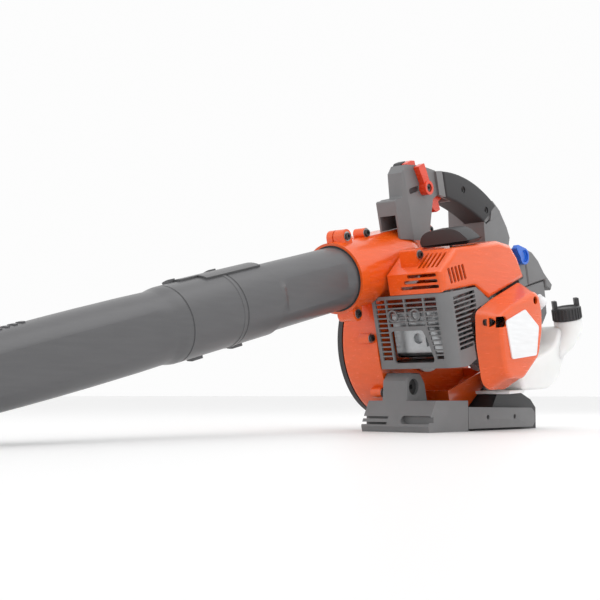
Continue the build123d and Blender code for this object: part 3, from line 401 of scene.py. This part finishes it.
# ---- tubes: turned outlines whose left and right flanks are flattened between two creases ----
tubeValues = {"steps": 120, "crease": 0.857, "flatness": 0.3, "tubeFrom": 150.0, "tubeTo": 280.0,
              "nozzleFrom": 445.0, "nozzleTo": 700.0, "rear": 100, "front": 400, "outside": 38.5, "bore": 36.5,
              "sleeve": 39.4, "sleeveEnd": 139}
ribValues = {"count": 7, "from": 600, "step": 9, "width": 4, "foot": 35.0, "top": 39.1, "slope": 0.0308}


def flattenFlanks(bm, low, high, fade):
    for vert in bm.verts:
        u, v, w = vert.co
        radius = sqrt(v * v + (w - outletW) ** 2)
        limit = tubeValues["crease"] * radius
        if abs(v) > limit:
            amount = smoothStep(u, low, low + fade) * (1 - smoothStep(u, high - fade, high))
            lost = (abs(v) - limit) * (1 - tubeValues["flatness"]) * amount
            vert.co.y -= lost if v > 0 else -lost


def blowTube():
    t = tubeValues
    rear, front, outer, inner = t["rear"], t["front"], t["outside"], t["bore"]
    bm = bmesh.new()
    outside = along([(rear, outer), (front - 0.8, outer), (front, outer - 0.5)], 6.0)
    inside = along([(front, inner), (rear, inner)], 12.0)
    lathe(bm, outside + inside, t["steps"])
    flattenFlanks(bm, t["tubeFrom"], t["tubeTo"], 10.0)
    shapely(bm, "blowTube", "tube_plastic", "unit", ["blow_tube"], sharp=14)
    bm = bmesh.new()
    under = outer - 0.3
    end, over = t["sleeveEnd"], t["sleeve"]
    lathe(bm, [(rear, under), (rear, over), (end, over), (end, under)], 72)
    shapely(bm, "blowTubeSleeve", "tube_plastic", "unit")


def nozzleTube():
    bm = bmesh.new()
    socket = [(285, 38.85), (285, 40.4), (285.6, 41.0), (342.6, 41.0), (343.2, 40.1), (345.2, 40.1),
              (345.8, 41.6), (350, 41.6), (350.6, 41.0), (424.2, 41.0), (424.8, 40.0), (426.2, 40.0),
              (426.8, 41.0), (431, 40.9), (436, 40.2), (442, 38.9), (447, 38.5)]
    body = along([(447, 38.5), (480, 38.9), (540, 38.7), (580, 38.2), (620, 37.3), (660, 36.0), (700, 34.4),
                  (726, 33.0)], 8.0)
    tip = [(745, 33.0), (747.4, 32.6), (748, 32.0), (748, 31.3)]
    inside = along([(746, 31.0), (700, 32.2), (620, 35.1), (540, 36.5), (447, 36.4), (402.5, 37.2)], 16.0)
    lathe(bm, socket + body[1:] + tip + inside + [(402, 38.85)], tubeValues["steps"])
    flattenFlanks(bm, tubeValues["nozzleFrom"], tubeValues["nozzleTo"], 30.0)
    shapely(bm, "nozzleTube", "tube_plastic", "nozzle", ["nozzle_tube"], sharp=14)
    plates = [  # from u, to u, inner and outer radius, start and end angle
        (289, 374, 40.6, 43.4, 66, 114), (374, 400, 40.6, 43.4, 84, 114),
        (335, 345, 42.0, 45.2, 98, 112), (397, 407, 40.6, 45.0, 98, 112),
        (322, 338, 40.6, 44.6, 261, 273), (384, 400, 40.6, 44.6, 261, 273),
    ]
    bm = bmesh.new()
    for u0, u1, r0, r1, startAngle, endAngle in plates:
        arcPlate(bm, u0, u1, r0, r1, startAngle, endAngle)
    r = ribValues
    for k in range(r["count"]):  # ribs on top of the front tube
        u = r["from"] + r["step"] * k
        arcPlate(bm, u, u + r["width"], r["foot"], r["top"] - r["slope"] * (u - r["from"]), 82 - k, 98 + k)
    bmesh.ops.recalc_face_normals(bm, faces=bm.faces)
    shapely(bm, "nozzleCatch", "tube_plastic", "nozzle", bevel=0.45)


# ---- handle: smooth arched sleeve ----
gripValues = {"frontLow": (-49, 184), "frontTop": (-49, 215), "topMiddle": (-126, 195), "rearTop": (-193, 143),
              "rearLow": (-154, 131), "lowMiddle": (-108, 160), "right": 5.0, "left": 39.0, "round": 6.0,
              "pocket": [(-84, 140), (-84, 196), (-50, 196), (-50, 140)], "pocketRight": 12.0,
              "pocketLeft": 32.0, "screws": [(-107, 184), (-157, 150)]}


def gripSleeve():
    g = gripValues
    top = [p for p in arcThrough(g["frontTop"], g["topMiddle"], g["rearTop"], 40) if -187.5 < p[0] < -62.5]
    low = [p for p in arcThrough(g["rearLow"], g["lowMiddle"], g["frontLow"], 36) if -150.5 < p[0] < -62.5]
    bm = bmesh.new()
    slab(bm, top + low, g["right"] - 0.3, g["left"] + 0.3, edge=g["round"], segments=5, roundAll=True)

    def pockets(bm):
        slab(bm, g["pocket"], g["pocketRight"], g["pocketLeft"])
        for u, w in g["screws"]:
            lathe(bm, [(28, 0.01), (28, 4.6), (60, 4.6), (60, 0.01)], 28, (0, 1, 0), (u, 0, w))
    shapely(carved(bm, pockets), "gripSleeve", "grip_rubber", "unit", ["handle_grip"], sharp=50)


# ---- starter side: domed housing with its screw pockets, pull handle, rope ----
starterValues = {"low": 124.4, "depth": 28.0, "top": 0.81, "corner": 6.5, "edge": 6.0, "wall": 2.5,
                 "middle": (-19.0, -2.0), "inner": 0.95}
starterOutline = [(48, -45), (48, 3), (40, 41), (1, 49.5), (-72, 59), (-84, 50), (-86, 22), (-79, -6),
                  (-58, -43), (-5, -66), (36, -57)]
starterScrews = [(36, 27), (5, -50), (-58, 36), (-60, -22)]
ropeRoute = [(-23.3, 133, 0), (-23.3, 133, 18), (-19, 123, 38), (-10, 106, 66), (6, 88, 92), (10, 84, 104),
             (10, 84, 123)]
ropeThickness = 3.2


def capsule(u, w, length, width, turn=0.0, count=8):  # a slot's outline with round ends
    half, r = (length - width) / 2, width / 2
    ends = [(half + r * cos(a), r * sin(a)) for a in (-pi / 2 + pi * k / count for k in range(count + 1))]
    ends += [(-x, -y) for x, y in ends]
    return [(u + x * cos(turn) - y * sin(turn), w + x * sin(turn) + y * cos(turn)) for x, y in ends]


def drumV(bm, radius, low, high, u, w, steps=28):
    lathe(bm, [(low, 0.02), (low, radius), (high, radius), (high, 0.02)], steps, (0, 1, 0), (u, 0, w))


def starterHousing():
    s = starterValues
    bm = bmesh.new()
    top = s["low"] + s["depth"]
    slab(bm, starterOutline, s["low"], top, s["corner"], s["edge"], 5, s["top"], pressed=True)

    def room(bm):
        (mu, mw), k = s["middle"], s["inner"]
        inner = [(mu + (u - mu) * k, mw + (w - mw) * k) for u, w in starterOutline]
        slab(bm, inner, s["low"] - 1, top - s["wall"], s["corner"], 0, 5, s["top"])

    def teardrop(bm):
        slab(bm, capsule(29, 25.5, 26, 13, 0.12), 145, 160)

    def pockets(bm):
        drumV(bm, 6.2, 138, 160, *starterScrews[0])
        slab(bm, capsule(-17, -55, 27, 7, -0.5), 131, 160)
        for u, w in starterScrews[2:]:
            drumV(bm, 5.0, 134, 160, u, w)
    dome = carved(bm, room, teardrop, pockets)
    shapely(dome, "starterHousing", "orange_plastic", "unit", ["starter_housing"], sharp=50)
    bm = bmesh.new()
    for u, w in starterScrews:
        drumV(bm, 4.0, 133.4, 136.2, u, w, 20)
    shapely(bm, "starterScrewHeads", "dark_steel", "unit", bevel=0.3)


def pullHandle():
    bm = bmesh.new()
    side = [(47, 126), (50, 137), (61, 143.5), (95, 144), (106, 141), (121, 127), (117, 123.5), (95, 123),
            (55, 123)]
    slab(bm, side, -24, 4, 5.5, 4.5, 5, roundAll=True)
    bmesh.ops.rotate(bm, verts=bm.verts, cent=(0, 0, 0), matrix=Matrix.Rotation(pi / 2, 3, "Z"))
    shapely(bm, "pullHandle", "dark_plastic", "pull_grip", ["starter_handle"], sharp=50)


def starterRope():
    line = bpy.data.curves.new("starterRope", "CURVE")
    line.dimensions, line.resolution_u = "3D", 14
    line.bevel_depth, line.bevel_resolution = ropeThickness * 0.0005, 4
    spline = line.splines.new("NURBS")
    spline.points.add(len(ropeRoute) - 1)
    for point, place in zip(spline.points, ropeRoute):
        point.co = (*(unitFrame @ Vector(place)), 1)
    spline.order_u, spline.use_endpoint_u = 3, True
    holder = placed("ropeLine", line)
    bpy.context.view_layer.update()
    mesh = bpy.data.meshes.new_from_object(holder.evaluated_get(bpy.context.evaluated_depsgraph_get()))
    bpy.data.objects.remove(holder)
    mesh.name = "starterRope"
    mesh.shade_smooth()
    mesh.materials.clear()
    mesh.materials.append(finishes["cord_fibre"])
    rope = placed("starterRope", mesh)
    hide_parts("starter_rope")
    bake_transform(rope)


# ---- fuel: blow-moulded tank with its filler neck, ribbed cap with two lugs ----
tankValues = {"right": 60.0, "left": 121.0, "corner": 8.0, "edge": 8.0}
tankOutline = [(-48, -48), (-52, -79), (-118, -93), (-146, -86), (-166, -66), (-184, -47), (-197, -24),
               (-172, -19), (-150, -40), (-128, -44)]
neckRings = [  # height, centre u and v, radius
    (-14, -189, 122, 19.0), (-24, -189, 122, 19.2), (-32, -187, 120, 19.8), (-42, -181, 115, 20.5),
    (-52, -172, 109, 20.5), (-62, -161, 103, 18.0), (-70, -152, 98, 12.0),
]
capValues = {"u": -189.0, "v": 122.0, "seat": -13.7, "radius": 19.0, "ribs": 26, "ribSize": (1.8, 2.2, 15.0),
             "lugTurn": 2.29, "lugReach": 15.0, "lugSize": (5.5, 11.0, 12.0)}


def fuelTank():
    t = tankValues
    bm = bmesh.new()
    slab(bm, tankOutline, t["right"], t["left"], t["corner"], t["edge"], 5, roundAll=True)
    shapely(bm, "fuelTank", "tank_plastic", "unit", ["fuel_tank"], sharp=60)
    bm = bmesh.new()
    top, u, v, radius = neckRings[0]
    ring = bmesh.ops.create_circle(bm, segments=48, radius=radius, cap_ends=False)["verts"]
    bmesh.ops.translate(bm, verts=ring, vec=(u, v, top))
    edges = list(bm.edges)
    for (w0, u0, v0, r0), (w1, u1, v1, r1) in zip(neckRings, neckRings[1:]):
        grown = bmesh.ops.extrude_edge_only(bm, edges=edges)["geom"]
        verts = [g for g in grown if isinstance(g, bmesh.types.BMVert)]
        edges = [g for g in grown if isinstance(g, bmesh.types.BMEdge)]
        bmesh.ops.translate(bm, verts=verts, vec=(u1 - u0, v1 - v0, w1 - w0))
        bmesh.ops.scale(bm, verts=verts, vec=(r1 / r0, r1 / r0, 1), space=Matrix.Translation((-u1, -v1, 0)))
    bmesh.ops.holes_fill(bm, edges=bm.edges)
    bmesh.ops.recalc_face_normals(bm, faces=bm.faces)
    shapely(bm, "tankNeck", "tank_plastic", "unit", sharp=50)
    bm = bmesh.new()
    slab(bm, [(-24, -73), (-24, -77), (-60, -84), (-60, -80)], 66, 117, 1.5, 0.8)
    shapely(bm, "tankFoot", "tank_plastic", "unit", sharp=50)


def fuelCap():
    c = capValues
    seat, centre = c["seat"], (c["u"], c["v"], 0)
    bm = bmesh.new()
    wall = [(seat, 0.02), (seat, 18.4), (seat + 1, c["radius"]), (seat + 16.5, c["radius"]),
            (seat + 18, 17.6), (seat + 18, 12.5), (seat + 16.6, 11.8), (seat + 16.6, 0.02)]
    lathe(bm, wall, 52, (0, 0, 1), centre)
    rib = bmesh.ops.create_cube(bm, size=1.0)["verts"]
    bmesh.ops.scale(bm, verts=rib, vec=c["ribSize"])
    bmesh.ops.translate(bm, verts=rib, vec=(c["u"] + c["radius"] + 0.1, c["v"], seat + 8.4))
    ribEdges = list({e for v in rib for e in v.link_edges})
    ribFaces = list({f for v in rib for f in v.link_faces})
    bmesh.ops.spin(bm, geom=rib + ribEdges + ribFaces, cent=centre, axis=(0, 0, 1),
                   angle=fullTurn * (1 - 1 / c["ribs"]), steps=c["ribs"] - 1, use_duplicate=True)
    for side in (-1, 1):
        lug = bmesh.ops.create_cube(bm, size=1.0)["verts"]
        bmesh.ops.scale(bm, verts=lug, vec=c["lugSize"])
        bmesh.ops.translate(bm, verts=lug, vec=(side * c["lugReach"], 0, seat + 22))
        bmesh.ops.rotate(bm, verts=lug, cent=(0, 0, 0), matrix=Matrix.Rotation(c["lugTurn"], 3, "Z"))
        bmesh.ops.translate(bm, verts=lug, vec=centre)
    bmesh.ops.recalc_face_normals(bm, faces=bm.faces)
    shapely(bm, "fuelCap", "dark_plastic", "tank_cap", ["fuel_cap"], bevel=0.6)


# ---- base: one moulding, pale block in front and dark arch behind ----
baseValues = {"split": 0.0208, "blockEdge": 1.6, "archEdge": 1.4}


def splitBase():
    for name, slot, keepFront, edge in (("baseBlock", "grey_plastic", True, baseValues["blockEdge"]),
                                        ("baseArch", "dark_plastic", False, baseValues["archEdge"])):
        bm = cleanCopy("base_stand")
        everything = [*bm.verts, *bm.edges, *bm.faces]
        bmesh.ops.bisect_plane(bm, geom=everything, plane_co=(baseValues["split"], 0, 0), plane_no=(1, 0, 0),
                               clear_inner=keepFront, clear_outer=not keepFront)
        bmesh.ops.holes_fill(bm, edges=bm.edges)
        shapely(bm, name, slot, "unit", ["base_stand"], Matrix.Identity(4), 30, edge)


# ---- small parts that the eye looks for ----
washerValues = {"hole": 4.0, "rim": 6.0, "thickness": 0.8}
ringSpots = [  # u, w and v of a screw head's seat
    (78, 154.3, 8.0), (126, 156.3, 15.0), (128, 61.3, 15.0), (52, -90, 8.0), (93.5, -45.6, 8.0),
    (100.9, 25.2, 8.0), (77, 121, 82.0),
]


def smallParts():
    hole, rim, thick = washerValues.values()
    bm = bmesh.new()
    for u, w, v in ringSpots:  # plated washers under the screw heads
        lathe(bm, [(v, hole), (v, rim), (v + thick, rim), (v + thick, hole)], 28, (0, 1, 0), (u, 0, w))
    shapely(bm, "screwWashers", "plated_steel", "unit", bevel=0.2)
    bm = bmesh.new()
    slab(bm, [(-12, 224), (-12, 232), (-6, 234.5), (6, 233), (10, 229), (10, 222)], 13.5, 23.6, 1.5, 1.4, 3)
    slab(bm, capsule(2, 196.5, 20, 6.2, -0.1), 33.7, 34.3)
    slab(bm, capsule(-93, 62, 17, 6.5), 113.4, 114.6)
    shapely(bm, "handleCapBlock", "dark_plastic", "unit", sharp=50)
    # a thin black ring painted where the gap between blow tube and collar lies in shade: painted shade, not a seal
    bm = bmesh.new()
    lathe(bm, [(142.6, 38.6), (142.6, 40.6), (145.4, 40.6), (145.4, 38.6)], 72)
    shapely(bm, "collarSeal", "black_rubber", "unit")


print("stage: drawing tools ready")
blowTube()
nozzleTube()
gripSleeve()
print("stage: tubes and grip drawn")
starterHousing()
pullHandle()
starterRope()
fuelTank()
fuelCap()
splitBase()
smallParts()
print("stage: starter, fuel and base drawn")


# ---- studio: floor, soft boxes, pale surround, camera ----
studio = {"floor": 60.0, "surround": 0.98}
lamps = [  # place, aim, width, depth, watts
    ((0.2, 0.4, 1.6), (0.15, 0.0, 0.15), 1.6, 1.2, 6.0),
    ((1.5, -0.6, 0.9), (0.2, 0.0, 0.15), 1.0, 1.0, 2.0),
    ((0.5, 1.7, 0.7), (0.0, 0.05, 0.15), 1.2, 0.8, 2.0),
    ((-1.2, 0.3, 0.8), (0.0, 0.0, 0.2), 0.8, 0.8, 2.0),
]
view = {"place": (1.2653, 0.9028, 0.045), "along": (-0.754, -0.657), "rise": 4.6, "lens": 70.8}


def floorPiece():
    bm = bmesh.new()
    bmesh.ops.create_grid(bm, x_segments=1, y_segments=1, size=studio["floor"] / 2)
    mesh = bpy.data.meshes.new("floor")
    bm.to_mesh(mesh)
    bm.free()
    floor = placed("floor", mesh)
    s = Shader("paleFloor")
    mesh.materials.append(s.set(baseColor=(0.88, 0.88, 0.88, 1), roughness=0.5))


def softBox(number, place, aim, width, depth, watts):
    lamp = bpy.data.lights.new(f"softBox{number}", "AREA")
    lamp.shape, lamp.size, lamp.size_y, lamp.energy = "RECTANGLE", width, depth, watts
    holder = placed(f"softBox{number}", lamp)
    holder.location = place
    holder.rotation_euler = (Vector(aim) - Vector(place)).to_track_quat("-Z", "Y").to_euler()


def cameraPiece():
    flat = Vector(view["along"]).normalized()
    rise = radians(view["rise"])
    along = Vector((flat.x * cos(rise), flat.y * cos(rise), sin(rise)))
    lens = bpy.data.cameras.new("camera")
    lens.lens, lens.sensor_width, lens.clip_start = view["lens"], 36.0, 0.01
    camera = placed("camera", lens)
    camera.location = view["place"]
    camera.rotation_euler = along.to_track_quat("-Z", "Y").to_euler()
    bpy.context.scene.camera = camera


floorPiece()
for number, lamp in enumerate(lamps):
    softBox(number, *lamp)
cameraPiece()
world = bpy.data.worlds.new("surround")
world.use_nodes = True
background = world.node_tree.nodes["Background"]
background.inputs["Color"].default_value = (1, 1, 1, 1)
background.inputs["Strength"].default_value = studio["surround"]
bpy.context.scene.world = world
bpy.context.scene.view_settings.view_transform = "Standard"
print("stage: studio set")
